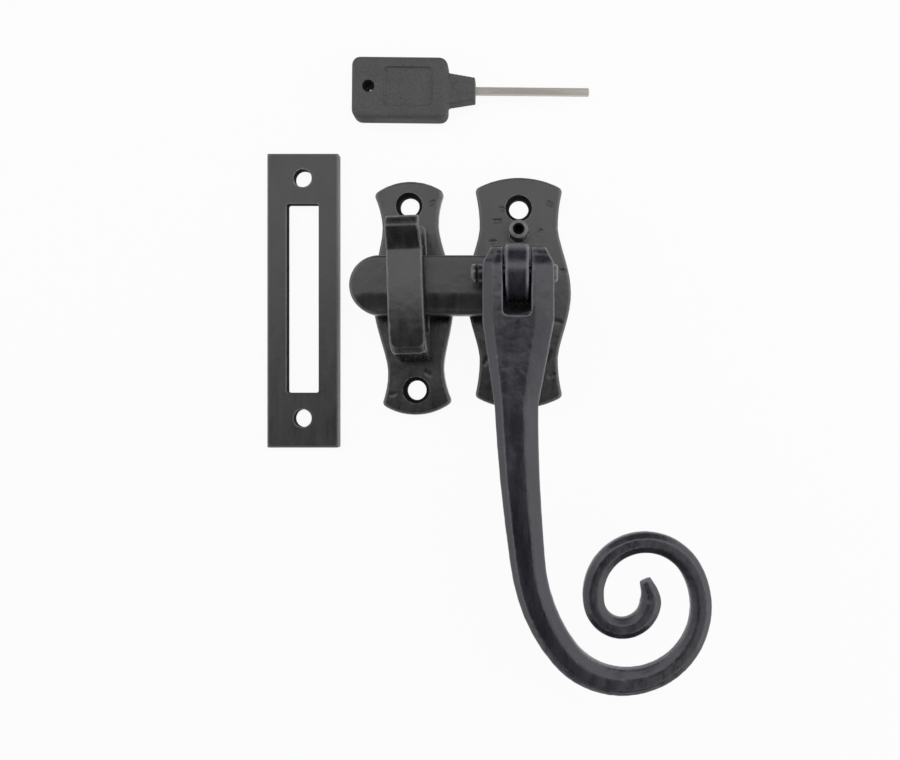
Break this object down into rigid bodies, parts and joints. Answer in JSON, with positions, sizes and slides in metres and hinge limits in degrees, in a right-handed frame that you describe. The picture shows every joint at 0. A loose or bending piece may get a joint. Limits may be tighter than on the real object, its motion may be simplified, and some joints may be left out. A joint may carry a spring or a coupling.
{
  "type": "casement window fastener",
  "caption": "Locking scroll-handled casement fastener: a hinged handle turns a flat tongue into a hook keep or a mortice plate, with a hexagon key for its lock screw.",
  "frame": {"origin": "under the middle of the whole set, on the plane of the plates' back faces", "axes": "+Z out of the plates' fronts, +Y up the back plate from the scroll towards the key, +X from the keep towards the handle"},
  "size_m": [0.1238, 0.176, 0.0279],
  "materials": {
    "black_paint": "satin black, lightly hammered",
    "bare_steel": "plain drawn steel",
    "grey_plastic": "fine matt texture"
  },
  "bodies": {
    "base_set": {"back_plate": "black_paint", "keep_plate": "black_paint", "keep_hook": "black_paint", "hook_rivet_upper": "bare_steel", "hook_rivet_lower": "bare_steel", "mortice_plate": "black_paint", "key_bow": "grey_plastic", "key_blade": "bare_steel"},
    "swing_unit": {"tongue": "black_paint", "swivel_knuckle": "black_paint", "spacer_collar": "black_paint", "wave_washer": "bare_steel", "retaining_washer": "bare_steel"},
    "handle_unit": {"handle": "black_paint", "hinge_pin": "black_paint"},
    "screw_unit": {"lock_screw": "black_paint"}
  },
  "joints": [
    {"name": "handle_turn", "type": "hinge", "parent": "base_set", "child": "swing_unit", "pos_m": [0.01131, 0.02045, 0], "axis": [0, 0, -1], "range_deg": [0, 90]},
    {"name": "handle_lift", "type": "hinge", "parent": "swing_unit", "child": "handle_unit", "pos_m": [0.01131, 0.02295, 0.0199], "axis": [-1, 0, 0], "range_deg": [0, 60]},
    {"name": "lock_screw_wind", "type": "slide", "parent": "base_set", "child": "screw_unit", "axis": [0, 0, 1], "range_m": [-0.0015, 0]}
  ]
}
